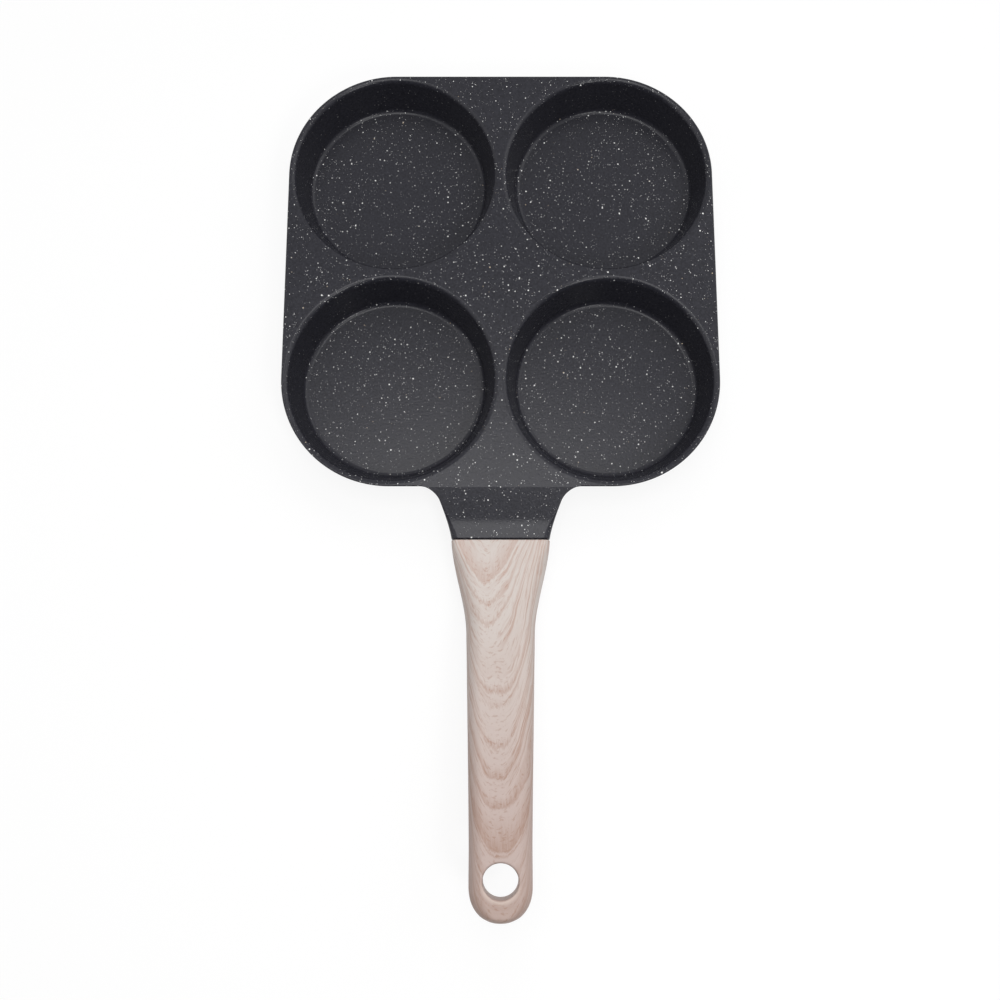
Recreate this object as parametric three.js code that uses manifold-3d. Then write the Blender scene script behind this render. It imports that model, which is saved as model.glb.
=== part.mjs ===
// Four-cup egg pan: a cast body with four round cups in a flat deck, a moulded handle screwed to the
// casting's tang, and a perforated steel disc under each cup. Millimetres, +Z up. The pan stands on z = 0,
// its handle points along -Y, and the origin is below the middle of its plan.
import * as THREE from 'three';
import { LoftGeometry } from 'three/addons/geometries/LoftGeometry.js';
import { mergeVertices } from 'three/addons/utils/BufferGeometryUtils.js';
import Module from 'manifold-3d';

const wasm = await Module();
wasm.setup();

// Cups
const cupRimRadius = 46.6; // where the wall meets the deck
const cupFloorRadius = 41; // where the wall meets the floor
const cupDepth = 19.5; // from the deck to the floor
const cupRimRound = 1.2; // rounding of the mouth
const cupFloorRound = 4; // fillet between wall and floor
const cupWall = 2.6;
const cupFloorThickness = 3.6;
const cupBaseBevel = 1.5; // bevel around the underside of the cup
const cupWeb = 4.3; // deck between two neighbouring cups
const rimBorder = 2.15; // deck between a cup and the pan's edge

// Deck and skirt
const deckThickness = 3;
const deckEdgeRound = 0.6;
const skirtWall = 2.2;
const skirtInset = 4.2; // how far the skirt's foot stands in from the deck's edge
const skirtFootLift = 3.2; // from the standing surface up to the skirt's foot

// Perforated steel discs under the cups
const discRadius = 37;
const discThickness = 1;
const discStandProud = 0.3; // below the underside of the cup
const discClearance = 0.3; // around the disc in its recess
const discHoleRadius = 2.6;
const discHoleRings = [
	{ radius: 13, count: 6 },
	{ radius: 26, count: 12 },
];

// Neck, from the deck's near edge to the joint with the handle
const neckLength = 22.5;
const neckRootHalfWidth = 29.2;
const neckTaperPower = 1.3; // how early the neck draws in
const neckRootFlare = 3.2; // widening into the skirt, on each side
const neckRootFlareLength = 3.4;
const neckRootDepth = 6; // how far the neck runs into the body
const neckDrop = 3.8; // from the deck down to the level part of the neck
const neckSlopeLength = 14.3;
const neckBendRadius = 20; // where the slope turns level
const neckEdgeRound = 0.7; // along the sides, near the deck

// Joint between neck and handle
const jointHalfWidth = 21.5;
const jointHeight = 15;
const jointCornerRound = 5;
const jointEdgeRound = 0.6; // around the two faces that meet
const jointGap = 0.3;

// Tang of the casting, inside the handle
const tangLength = 28;
const tangWidth = 24;
const tangHeight = 5.6;
const tangCornerRound = 2;
const tangLift = 1.7; // above the middle of the joint
const tangClearance = 0.3;

// Handle
const handleLength = 154.4;
const handleRise = 20; // of the centre line, from the joint to the tail
const handleFlareLength = 40; // from the joint's width down to the grip's
const gripFrontHalfWidth = 15.9;
const gripTailHalfWidth = 12.85;
const gripTaperLength = 126; // from the joint to where the grip's sides run parallel
const gripTaperPower = 1.2;
const gripHeight = 18;
const gripHighPoint = 75; // where the grip is thickest, from the joint
const gripSideRound = 8.2;
const tailHeight = 14;
const tailRoundLength = 14; // the round end, seen from above
const tailNoseLength = 7; // the round end, seen from the side
const tailPower = 2.2; // 2 is an ellipse, more is squarer
const hangHoleRadius = 7.2;
const hangHoleLip = 1.5; // rounding at both ends of the hole
const hangHoleInset = 16.6; // from the tail's end to the middle of the hole

// Screw that holds the handle on the tang, and its washers
const screwFromJoint = 16;
const screwShankRadius = 2.5;
const screwHoleClearance = 0.3;
const screwHeadRadius = 4.4;
const screwHeadHeight = 1.9;
const screwHeadCrown = 0.5; // height of the rounded edge of the head
const screwTipSetBack = 0.5; // of the screw's tip below the top of the tang
const driveSlotLength = 4.6;
const driveSlotWidth = 1;
const driveSlotDepth = 1.1;
const flatWasherRadius = 4.9;
const flatWasherThickness = 0.8;
const springWasherRadius = 4.4;
const springWasherThickness = 1;
const springWasherSplit = 0.9;
const counterboreClearance = 0.4; // around the flat washer
const screwWeb = 1.7; // handle wall that the screw clamps

// Facets
const cupSteps = 40;
const cornerSteps = cupSteps / 4;
const filletSteps = 3;
const sectionCornerSteps = 6;
const discSteps = 40;
const holeSteps = 8;
const boreSteps = 24;
const flareSteps = 5;
const neckSteps = 10;
const handleSteps = 15;
const tailSteps = 7;
const tailTipTurn = 86; // of the tail's last section, in degrees, where 90 is its tip
const fullRound = 0.98; // the most of a section's half size that its corners take
const weldDistance = 1e-4;
const overshoot = 2; // of a cutting body past the surface that it cuts

// Heights and places that follow from the sizes above
const cupBaseZ = discStandProud;
const floorZ = cupBaseZ + cupFloorThickness;
const deckZ = floorZ + cupDepth;
const cornerRadius = cupRimRadius + rimBorder;
const cupPitch = 2 * cupRimRadius + cupWeb;
const panHalf = cupPitch / 2 + cornerRadius;
const wallSlope = (cupRimRadius - cupFloorRadius) / cupDepth;
const jointTopZ = deckZ - neckDrop;
const jointMiddleZ = jointTopZ - jointHeight / 2;
const neckEndY = -panHalf - neckLength;
const handleFrontY = neckEndY - jointGap;
const tailY = handleFrontY - handleLength;
const tangMiddleZ = jointMiddleZ + tangLift;
const tangTopZ = tangMiddleZ + tangHeight / 2;
const socketBottomZ = tangMiddleZ - tangHeight / 2 - tangClearance;
const screwY = handleFrontY - screwFromJoint;
const screwHoleRadius = screwShankRadius + screwHoleClearance;
const counterboreRadius = flatWasherRadius + counterboreClearance;
const counterboreTopZ = socketBottomZ - screwWeb;
const springWasherTopZ = counterboreTopZ - flatWasherThickness;
const screwHeadTopZ = springWasherTopZ - springWasherThickness;
const cupCentres = [
	{ side: 'far_left', x: -cupPitch / 2, y: cupPitch / 2 },
	{ side: 'far_right', x: cupPitch / 2, y: cupPitch / 2 },
	{ side: 'near_left', x: -cupPitch / 2, y: -cupPitch / 2 },
	{ side: 'near_right', x: cupPitch / 2, y: -cupPitch / 2 },
];

const point = (x, y) => new THREE.Vector2(x, y);
const mix = THREE.MathUtils.lerp;
const ease = (value, from, to) => THREE.MathUtils.smoothstep(value, from, to);

// Solids and booleans

function solid(geometry) {
	const bare = new THREE.BufferGeometry().copy(geometry);
	bare.deleteAttribute('normal');
	bare.deleteAttribute('uv');
	const merged = mergeVertices(bare, weldDistance);
	const index = merged.index.array;
	const triVerts = [];
	for (let i = 0; i < index.length; i += 3) {
		const [a, b, c] = [index[i], index[i + 1], index[i + 2]];
		if (a !== b && b !== c && c !== a) triVerts.push(a, b, c);
	}
	return new wasm.Manifold(new wasm.Mesh({
		numProp: 3,
		vertProperties: new Float32Array(merged.attributes.position.array),
		triVerts: new Uint32Array(triVerts),
	}));
}

function geometryOf(body) {
	const { numProp, vertProperties, triVerts } = body.getMesh();
	const geometry = new THREE.BufferGeometry();
	const corners = new THREE.InterleavedBuffer(vertProperties, numProp);
	geometry.setAttribute('position', new THREE.InterleavedBufferAttribute(corners, 3, 0));
	geometry.setIndex([...triVerts]);
	const faceted = geometry.toNonIndexed();
	faceted.computeVertexNormals();
	return faceted;
}

// Outlines

// An arc of the given radius in the corner between two straight lines, as points from one to the other.
function roundCorner(before, corner, after, radius, steps) {
	const back = before.clone().sub(corner).normalize();
	const ahead = after.clone().sub(corner).normalize();
	const half = Math.acos(back.dot(ahead)) / 2;
	const start = corner.clone().addScaledVector(back, radius / Math.tan(half));
	const middle = back.clone().add(ahead).normalize();
	const centre = corner.clone().addScaledVector(middle, radius / Math.sin(half));
	const sweep = (Math.PI - 2 * half) * Math.sign(ahead.cross(back));
	return Array.from({ length: steps + 1 }, (_, i) => start.clone().rotateAround(centre, (sweep * i) / steps));
}

// The pan's outline at one height: a square whose corners are arcs around the cups' axes.
function panOutline(inset, z) {
	const outline = [];
	for (let corner = 0; corner < 4; corner++) {
		for (let step = 0; step <= cornerSteps; step++) {
			const angle = ((corner + step / cornerSteps) * Math.PI) / 2;
			const centreX = (Math.sign(Math.cos((corner + 0.5) * Math.PI / 2)) * cupPitch) / 2;
			const centreY = (Math.sign(Math.sin((corner + 0.5) * Math.PI / 2)) * cupPitch) / 2;
			const radius = cornerRadius - inset;
			outline.push(new THREE.Vector3(
				centreX + radius * Math.cos(angle), centreY + radius * Math.sin(angle), z,
			));
		}
	}
	return outline;
}

// A rectangle in the XZ plane with round corners, seen from -Y and counterclockwise from its right side.
function roundedSection(halfWidth, bottom, top, bottomRound, topRound) {
	const corners = [
		{ x: 1, z: top, round: topRound, start: 0 },
		{ x: -1, z: top, round: topRound, start: 1 },
		{ x: -1, z: bottom, round: bottomRound, start: 2 },
		{ x: 1, z: bottom, round: bottomRound, start: 3 },
	];
	return corners.flatMap(({ x, z, round, start }) => {
		const centreX = x * (halfWidth - round);
		const centreZ = z + (z === top ? -round : round);
		return Array.from({ length: sectionCornerSteps + 1 }, (_, i) => {
			const angle = ((start + i / sectionCornerSteps) * Math.PI) / 2;
			return point(centreX + round * Math.cos(angle), centreZ + round * Math.sin(angle));
		});
	});
}

// Simple bodies

function turned(profile, steps) {
	return solid(new THREE.LatheGeometry(profile, steps).rotateX(Math.PI / 2));
}

function upright(radius, bottom, top, steps) {
	const geometry = new THREE.CylinderGeometry(radius, radius, top - bottom, steps);
	return solid(geometry.rotateX(Math.PI / 2).translate(0, 0, (bottom + top) / 2));
}

// A round-cornered bar along -Y, from one y to another.
function bar(width, height, cornerRound, middleZ, fromY, toY) {
	const outline = roundedSection(width / 2, -height / 2, height / 2, cornerRound, cornerRound);
	const geometry = new THREE.ExtrudeGeometry(new THREE.Shape(outline), {
		depth: fromY - toY, bevelEnabled: false,
	});
	return solid(geometry.rotateX(Math.PI / 2).translate(0, fromY, middleZ));
}

function washer(outerRadius, top, thickness) {
	const ring = upright(outerRadius, top - thickness, top, boreSteps);
	return ring.subtract(upright(screwHoleRadius, top - thickness - overshoot, top + overshoot, boreSteps));
}

// Pan casting

const skirtInsetAt = (z) => (skirtInset * (deckZ - z)) / (deckZ - skirtFootLift);

function skirtBlock(bottom) {
	const foot = point(skirtInsetAt(bottom), bottom);
	const edge = point(0, deckZ);
	const inward = point(cornerRadius, deckZ);
	const profile = [foot, ...roundCorner(foot, edge, inward, deckEdgeRound, filletSteps)];
	const sections = profile.map(({ x, y }) => panOutline(x, y));
	return solid(new LoftGeometry(sections, { capStart: true, capEnd: true }));
}

function skirtHollow() {
	const heights = [-overshoot, deckZ - deckThickness];
	const sections = heights.map((z) => panOutline(skirtInsetAt(z) + skirtWall, z));
	return solid(new LoftGeometry(sections, { capStart: true, capEnd: true }));
}

function cupOutside() {
	const radiusAt = (z) => cupFloorRadius + cupWall * Math.hypot(1, wallSlope) + (z - floorZ) * wallSlope;
	const top = deckZ - deckThickness / 2;
	const bevelTop = cupBaseZ + cupBaseBevel;
	return turned([
		point(0, cupBaseZ),
		point(radiusAt(bevelTop) - cupBaseBevel, cupBaseZ),
		point(radiusAt(bevelTop), bevelTop),
		point(radiusAt(top), top),
		point(0, top),
	], cupSteps);
}

function cupInside() {
	const middle = point(0, floorZ);
	const floorCorner = point(cupFloorRadius, floorZ);
	const rimCorner = point(cupRimRadius, deckZ);
	const outward = point(2 * cupRimRadius, deckZ);
	const rim = roundCorner(floorCorner, rimCorner, outward, cupRimRound, filletSteps);
	const mouthRadius = rim[rim.length - 1].x;
	return turned([
		middle,
		...roundCorner(middle, floorCorner, rimCorner, cupFloorRound, filletSteps),
		...rim,
		point(mouthRadius, deckZ + overshoot),
		point(0, deckZ + overshoot),
	], cupSteps);
}

function neckHalfWidth(along) {
	const drawnIn = Math.pow(1 - Math.max(along, 0) / neckLength, neckTaperPower);
	const flare = Math.pow(Math.max(1 - Math.max(along, 0) / neckRootFlareLength, 0), 2);
	return mix(jointHalfWidth, neckRootHalfWidth, drawnIn) + neckRootFlare * flare;
}

// Height of the neck's top at a distance from the deck's edge: a slope, an arc and a level end.
function neckTopZ(along) {
	const rootTop = deckZ - deckEdgeRound;
	const slope = (rootTop - jointTopZ) / neckSlopeLength;
	const tangent = neckBendRadius * Math.tan(Math.atan(slope) / 2);
	const fromLevel = neckSlopeLength + tangent - along;
	if (fromLevel <= 0) return jointTopZ;
	const arcLength = neckBendRadius * Math.sin(Math.atan(slope));
	if (fromLevel > arcLength) return rootTop - slope * Math.max(along, 0);
	return jointTopZ + neckBendRadius - Math.sqrt(neckBendRadius ** 2 - fromLevel ** 2);
}

function neckSection(along, inset) {
	const top = neckTopZ(along) - inset;
	const bottom = jointTopZ - jointHeight + inset;
	const topRound = mix(neckEdgeRound, jointCornerRound, ease(along, neckSlopeLength / 2, neckLength));
	return roundedSection(neckHalfWidth(along) - inset, bottom, top, jointCornerRound - inset, topRound - inset)
		.map(({ x, y }) => new THREE.Vector3(x, -panHalf - along, y));
}

function neck() {
	const stations = [-neckRootDepth];
	for (let i = 0; i < flareSteps; i++) stations.push((neckRootFlareLength * i) / flareSteps);
	const end = neckLength - jointEdgeRound;
	for (let i = 0; i <= neckSteps; i++) stations.push(mix(neckRootFlareLength, end, i / neckSteps));
	const sections = stations.map((along) => neckSection(along, 0));
	sections.push(neckSection(neckLength, jointEdgeRound));
	return solid(new LoftGeometry(sections, { capStart: true, capEnd: true }));
}

function panCasting() {
	const cupBlock = skirtBlock(cupBaseZ);
	let casting = skirtBlock(skirtFootLift).subtract(skirtHollow());
	const outside = cupOutside();
	const inside = cupInside();
	const recess = upright(discRadius + discClearance, -overshoot, discThickness, discSteps);
	for (const { x, y } of cupCentres) casting = casting.add(outside.translate(x, y, 0).intersect(cupBlock));
	casting = casting.add(neck());
	casting = casting.add(bar(
		tangWidth, tangHeight, tangCornerRound, tangMiddleZ, neckEndY + neckLength / 2, neckEndY - tangLength,
	));
	for (const { x, y } of cupCentres) {
		casting = casting.subtract(inside.translate(x, y, 0)).subtract(recess.translate(x, y, 0));
	}
	const threadHole = upright(screwHoleRadius, socketBottomZ - overshoot, tangTopZ + overshoot, boreSteps);
	return casting.subtract(threadHole.translate(0, screwY, 0));
}

// Base discs

function baseDisc() {
	let disc = upright(discRadius, 0, discThickness, discSteps);
	const hole = upright(discHoleRadius, -overshoot, discThickness + overshoot, holeSteps);
	for (const { radius, count } of discHoleRings) {
		for (let i = 0; i < count; i++) {
			const angle = (i / count) * 2 * Math.PI;
			disc = disc.subtract(hole.translate(radius * Math.cos(angle), radius * Math.sin(angle), 0));
		}
	}
	return disc;
}

// Handle

// Height of the handle's centre line, an easing curve, and the angle of that curve at a distance from the
// joint. The easing is 3 s^2 - 2 s^3, whose slope is 6 s (1 - s).
const centreLineZ = (along) => jointMiddleZ + handleRise * ease(along, 0, handleLength);
function centreLineTilt(along) {
	const share = along / handleLength;
	return Math.atan((6 * handleRise * share * (1 - share)) / handleLength);
}

// How much of its size the round end has left at a distance from the joint: 1 before it, 0 at its tip.
function tailShare(along, length) {
	const into = THREE.MathUtils.clamp((along - handleLength + length) / length, 0, 1);
	return Math.pow(1 - Math.pow(into, tailPower), 1 / tailPower);
}

function handleHalfWidth(along) {
	const taper = Math.pow(1 - Math.min(along / gripTaperLength, 1), gripTaperPower);
	const grip = mix(gripTailHalfWidth, gripFrontHalfWidth, taper);
	const flare = (jointHalfWidth - gripFrontHalfWidth) * (1 - ease(along, 0, handleFlareLength));
	return (grip + flare) * tailShare(along, tailRoundLength);
}

function handleHalfHeight(along) {
	const swelling = mix(jointHeight, gripHeight, ease(along, 0, gripHighPoint));
	const height = mix(swelling, tailHeight, ease(along, gripHighPoint, handleLength - tailRoundLength));
	return (height / 2) * tailShare(along, tailNoseLength);
}

function handleSection(along, inset) {
	const halfWidth = handleHalfWidth(along) - inset;
	const halfHeight = handleHalfHeight(along) - inset;
	const wanted = mix(jointCornerRound, gripSideRound, ease(along, 0, handleFlareLength)) - inset;
	const round = Math.min(wanted, fullRound * halfWidth, fullRound * halfHeight);
	const tilt = centreLineTilt(along);
	return roundedSection(halfWidth, -halfHeight, halfHeight, round, round).map(({ x, y }) => new THREE.Vector3(
		x, handleFrontY - along + y * Math.sin(tilt), centreLineZ(along) + y * Math.cos(tilt),
	));
}

function handleBody() {
	const sections = [handleSection(0, jointEdgeRound)];
	const roundStart = handleLength - tailRoundLength;
	for (let i = 0; i <= handleSteps; i++) {
		sections.push(handleSection(mix(jointEdgeRound, roundStart, i / handleSteps), 0));
	}
	for (let i = 1; i <= tailSteps; i++) {
		const turn = THREE.MathUtils.degToRad((tailTipTurn * i) / tailSteps);
		sections.push(handleSection(roundStart + tailRoundLength * Math.sin(turn), 0));
	}
	return solid(new LoftGeometry(sections, { capStart: true, capEnd: true }));
}

function hangHole() {
	const along = handleLength - hangHoleInset;
	const halfHeight = handleHalfHeight(along);
	const axis = point(hangHoleRadius, 0);
	const lipTop = point(hangHoleRadius, halfHeight);
	const outward = point(2 * hangHoleRadius, halfHeight);
	const lip = roundCorner(axis, lipTop, outward, hangHoleLip, filletSteps);
	const mouthRadius = lip[lip.length - 1].x;
	const upper = [...lip, point(mouthRadius, halfHeight + overshoot), point(0, halfHeight + overshoot)];
	const lower = upper.map(({ x, y }) => point(x, -y)).reverse();
	const cutter = turned([...lower, ...upper], boreSteps);
	return cutter.rotate([-THREE.MathUtils.radToDeg(centreLineTilt(along)), 0, 0])
		.translate(0, handleFrontY - along, centreLineZ(along));
}

function handle() {
	const socket = bar(
		tangWidth + 2 * tangClearance, tangHeight + 2 * tangClearance, tangCornerRound + tangClearance,
		tangMiddleZ, neckEndY + overshoot, neckEndY - tangLength - tangClearance,
	);
	const holeTop = socketBottomZ + overshoot;
	const screwHole = upright(screwHoleRadius, counterboreTopZ - overshoot, holeTop, boreSteps);
	const counterbore = upright(counterboreRadius, -overshoot, counterboreTopZ, boreSteps);
	return handleBody().subtract(socket).subtract(hangHole())
		.subtract(screwHole.translate(0, screwY, 0)).subtract(counterbore.translate(0, screwY, 0));
}

// Screw and washers

function handleScrew() {
	const headBottomZ = screwHeadTopZ - screwHeadHeight;
	const tipZ = tangTopZ - screwTipSetBack;
	const body = turned([
		point(0, headBottomZ),
		point(screwHeadRadius - screwHeadCrown, headBottomZ),
		point(screwHeadRadius, headBottomZ + screwHeadCrown),
		point(screwHeadRadius, screwHeadTopZ),
		point(screwShankRadius, screwHeadTopZ),
		point(screwShankRadius, tipZ - screwTipSetBack),
		point(screwShankRadius - screwTipSetBack, tipZ),
		point(0, tipZ),
	], boreSteps);
	const slot = new THREE.BoxGeometry(driveSlotLength, driveSlotWidth, 2 * driveSlotDepth);
	const acrossSlot = new THREE.BoxGeometry(driveSlotWidth, driveSlotLength, 2 * driveSlotDepth);
	return body.subtract(solid(slot.translate(0, 0, headBottomZ)))
		.subtract(solid(acrossSlot.translate(0, 0, headBottomZ)));
}

function springWasher() {
	const split = new THREE.BoxGeometry(springWasherRadius, springWasherSplit, 2 * springWasherThickness);
	const middleZ = springWasherTopZ - springWasherThickness / 2;
	return washer(springWasherRadius, springWasherTopZ, springWasherThickness)
		.subtract(solid(split.translate(springWasherRadius / 2 + screwHoleRadius / 2, 0, middleZ)));
}

// Assembly

const eggPan = new THREE.Group();
eggPan.position.y = -(panHalf + tailY) / 2;

function addPiece(name, body, finish, x = 0, y = 0) {
	const piece = new THREE.Mesh(geometryOf(body), new THREE.MeshStandardMaterial(finish));
	piece.name = name;
	piece.position.set(x, y, 0);
	eggPan.add(piece);
}

const coating = { color: 0x3b3b40, roughness: 0.55, metalness: 0.1 };
const steel = { color: 0xbfc1c4, roughness: 0.35, metalness: 1 };
const paleWoodGrain = { color: 0xcfc1b8, roughness: 0.5, metalness: 0 };

addPiece('pan_casting', panCasting(), coating);
const disc = baseDisc();
for (const { side, x, y } of cupCentres) addPiece(`base_disc_${side}`, disc, steel, x, y);
addPiece('handle', handle(), paleWoodGrain);
addPiece('handle_screw', handleScrew(), steel, 0, screwY);
addPiece('screw_spring_washer', springWasher(), steel, 0, screwY);
const flatWasher = washer(flatWasherRadius, counterboreTopZ, flatWasherThickness);
addPiece('screw_flat_washer', flatWasher, steel, 0, screwY);

export default eggPan;
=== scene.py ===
"""Looks of a four-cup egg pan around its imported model.

Bodies are shaped in millimetres in the pan's own frame: the origin lies on the standing surface, under the
middle of the four cups, and the handle points along -Y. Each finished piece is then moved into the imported
model's frame, in metres.
"""

import logging
import math
from dataclasses import dataclass, field
from enum import Enum
from typing import Iterable, Sequence, Union

import bmesh
import bpy
from mathutils import Matrix, Vector


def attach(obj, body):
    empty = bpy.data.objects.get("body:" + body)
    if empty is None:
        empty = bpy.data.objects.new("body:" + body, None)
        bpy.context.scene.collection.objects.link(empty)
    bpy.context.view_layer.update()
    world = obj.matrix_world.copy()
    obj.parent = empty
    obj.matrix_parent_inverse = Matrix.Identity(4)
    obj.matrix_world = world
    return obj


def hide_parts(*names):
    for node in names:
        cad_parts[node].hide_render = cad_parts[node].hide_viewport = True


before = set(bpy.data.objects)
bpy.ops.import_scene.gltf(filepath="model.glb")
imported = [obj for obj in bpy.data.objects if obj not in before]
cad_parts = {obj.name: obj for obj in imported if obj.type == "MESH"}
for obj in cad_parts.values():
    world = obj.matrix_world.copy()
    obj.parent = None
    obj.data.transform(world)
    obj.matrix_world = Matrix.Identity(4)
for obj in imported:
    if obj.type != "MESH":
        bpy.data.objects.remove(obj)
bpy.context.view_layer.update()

LOG = logging.getLogger("egg_pan")
METRES = 0.001  # in one millimetre
OVERSHOOT = 2.0  # of a cutting body past the surface that it cuts
TOUCH = 0.002  # keeps two surfaces from lying in one plane
MERGE = TOUCH / 2  # points of a finished piece that lie nearer become one
SLIVER = TOUCH / 4  # edges of a finished piece that are shorter are dissolved
EDGE_SHARE = 0.999  # of a profile's edge that one rounding may take up
STOP_GAP = 1e-4  # between two stops of a colour ramp
FULL_TURN = 2 * math.pi
QUARTER_TURN = math.pi / 2
WHITE = (1.0, 1.0, 1.0, 1.0)
MIX_FIRST, MIX_SECOND, MIX_RESULT = 6, 7, 2  # the Mix node's colour sockets

Colour = tuple[float, float, float]
Place = tuple[float, float, float]
Range = tuple[float, float]  # start and end
Span = tuple[float, float, float, float]  # start, end and the results there
Socket = bpy.types.NodeSocket
Value = Union[float, Sequence[float], Socket]


def mix(low: float, high: float, share: float) -> float:
    """Returns the value at a share of the way from low to high."""
    return low + (high - low) * share


def ease(value: float, start: float, end: float) -> float:
    """Returns 0 before start, 1 after end, and a smooth step between them."""
    share = min(max((value - start) / (end - start), 0.0), 1.0)
    return share * share * (3 - 2 * share)


class Side(Enum):
    """The four cups, by their place as the cook sees them: signs of x and y."""

    FAR_LEFT = (-1, 1)
    FAR_RIGHT = (1, 1)
    NEAR_LEFT = (-1, -1)
    NEAR_RIGHT = (1, -1)


class Join(Enum):
    """How one body is joined to another, by the modifier's own words."""

    ADD = "UNION"
    CUT = "DIFFERENCE"
    KEEP = "INTERSECT"


class Slot(Enum):
    """The record's material slots."""

    CASTING = "coated_casting"
    DISC = "base_steel"
    HANDLE = "wood_grain_handle"
    FASTENER = "fastener_steel"


# Shapes


@dataclass(frozen=True)
class Corner:
    """A corner of a turned profile: distance from the axis, height and radius of its rounding."""

    radius: float
    height: float
    round: float = 0.0


@dataclass(frozen=True)
class Section:
    """A rectangle with round corners, drawn in a plane of its own and placed by a matrix."""

    half_width: float
    bottom: float
    top: float
    bottom_round: float
    top_round: float
    place: Matrix


class Body:
    """A closed shape in millimetres, built up in a bmesh."""

    def __init__(self) -> None:
        """Starts an empty shape."""
        self.mesh = bmesh.new()

    def _bevel(self, verts: Sequence[bmesh.types.BMVert], reach: float, steps: int) -> None:
        """Rounds corners of an outline, each from a reach along its two edges."""
        bmesh.ops.bevel(
            self.mesh, geom=verts, offset=reach, offset_type="OFFSET", segments=steps, profile=0.5,
            affect="VERTICES", material=-1,
        )

    def _loop(self, section: Section, steps: int) -> list[bmesh.types.BMEdge]:
        """Draws one section's outline.

        Args:
            section: The section to draw.
            steps: Facets in each round corner.

        Returns:
            The outline's edges.
        """
        known = set(self.mesh.verts)
        corners = bmesh.ops.create_grid(self.mesh, x_segments=1, y_segments=1, size=1.0)["verts"]
        upper = [vert for vert in corners if vert.co.y > 0]
        lower = [vert for vert in corners if vert.co.y < 0]
        for vert in corners:
            vert.co.x *= section.half_width
            vert.co.y = section.top if vert in upper else section.bottom
        for verts, radius in ((upper, section.top_round), (lower, section.bottom_round)):
            self._bevel(verts, radius, steps)
        drawn = [vert for vert in self.mesh.verts if vert not in known]
        bmesh.ops.transform(self.mesh, matrix=section.place, verts=drawn)
        edges = list({edge for vert in drawn for edge in vert.link_edges})
        faces = list({face for edge in edges for face in edge.link_faces})
        bmesh.ops.delete(self.mesh, geom=faces, context="FACES_ONLY")
        return edges

    def loft(self, sections: Sequence[Section], steps: int) -> "Body":
        """Skins a row of sections and closes both ends.

        Args:
            sections: The sections, in order.
            steps: Facets in each round corner of a section.

        Returns:
            This shape.
        """
        loops = [self._loop(section, steps) for section in sections]
        for first, second in zip(loops, loops[1:]):
            bmesh.ops.bridge_loops(self.mesh, edges=first + second)
        for end in (loops[0], loops[-1]):
            bmesh.ops.contextual_create(self.mesh, geom=end)
        return self._tidied()

    def turn(
        self, corners: Sequence[Corner], steps: int, round_steps: int = 6, ring: bool = False,
        angle: float = FULL_TURN,
    ) -> "Body":
        """Turns a profile about the Z axis.

        Args:
            corners: The profile, from one end to the other.
            steps: Facets of the turn.
            round_steps: Facets in each round corner.
            ring: Whether the profile's last corner joins its first.
            angle: How far to turn; less than a full turn leaves two flat ends.

        Returns:
            This shape.
        """
        verts = [self.mesh.verts.new((corner.radius, 0, corner.height)) for corner in corners]
        pairs = list(zip(verts, verts[1:])) + ([(verts[-1], verts[0])] if ring else [])
        for pair in pairs:
            self.mesh.edges.new(pair)
        for vert, corner in zip(verts, corners):
            if corner.round:
                self._round(vert, corner.round, round_steps)
        whole = angle == FULL_TURN
        outline = list(self.mesh.verts) + list(self.mesh.edges)
        turned = bmesh.ops.spin(
            self.mesh, geom=outline, cent=(0, 0, 0), axis=(0, 0, 1), angle=angle, steps=steps,
            use_merge=whole,
        )
        if not whole:
            for end in (outline, turned["geom_last"]):
                edges = [part for part in end if isinstance(part, bmesh.types.BMEdge)]
                bmesh.ops.contextual_create(self.mesh, geom=edges)
        return self._tidied()

    def _round(self, vert: bmesh.types.BMVert, radius: float, steps: int) -> None:
        """Rounds one corner of a profile, and never takes up a whole edge of it.

        Args:
            vert: The corner, with two edges.
            radius: Radius of the rounding.
            steps: Facets of the rounding.
        """
        ahead, back = (edge.other_vert(vert).co - vert.co for edge in vert.link_edges)
        reach = radius / math.tan(ahead.angle(back) / 2)
        room = EDGE_SHARE * min(ahead.length, back.length)
        self._bevel([vert], min(reach, room), steps)

    def rod(self, radius: float, bottom: float, top: float, steps: int) -> "Body":
        """Makes an upright cylinder.

        Args:
            radius: Its radius.
            bottom: Height of its lower end.
            top: Height of its upper end.
            steps: Facets round it.

        Returns:
            This shape.
        """
        bmesh.ops.create_cone(
            self.mesh, cap_ends=True, segments=steps, radius1=radius, radius2=radius, depth=top - bottom,
            matrix=Matrix.Translation((0, 0, (bottom + top) / 2)),
        )
        return self

    def sheet(self, size: float) -> "Body":
        """Makes a level square around the origin."""
        bmesh.ops.create_grid(self.mesh, x_segments=1, y_segments=1, size=size / 2)
        return self

    def slab(self, width: float, depth: float, height: float) -> "Body":
        """Makes a plain block around the origin, as a cutter for slots."""
        bmesh.ops.create_cube(self.mesh, size=1.0, matrix=Matrix.Diagonal((width, depth, height, 1)))
        return self

    def moved(self, place: Matrix) -> "Body":
        """Moves or turns the whole shape, and returns it."""
        bmesh.ops.transform(self.mesh, matrix=place, verts=self.mesh.verts)
        return self

    def repeated(self, places: Iterable[Vector]) -> "Body":
        """Puts a copy of the shape at each place, in the stead of the first one.

        Args:
            places: Where the copies go.

        Returns:
            This shape.
        """
        first = list(self.mesh.verts) + list(self.mesh.edges) + list(self.mesh.faces)
        for place in places:
            copy = bmesh.ops.duplicate(self.mesh, geom=first)["geom"]
            verts = [part for part in copy if isinstance(part, bmesh.types.BMVert)]
            bmesh.ops.translate(self.mesh, vec=place, verts=verts)
        bmesh.ops.delete(self.mesh, geom=first, context="VERTS")
        return self

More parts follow.
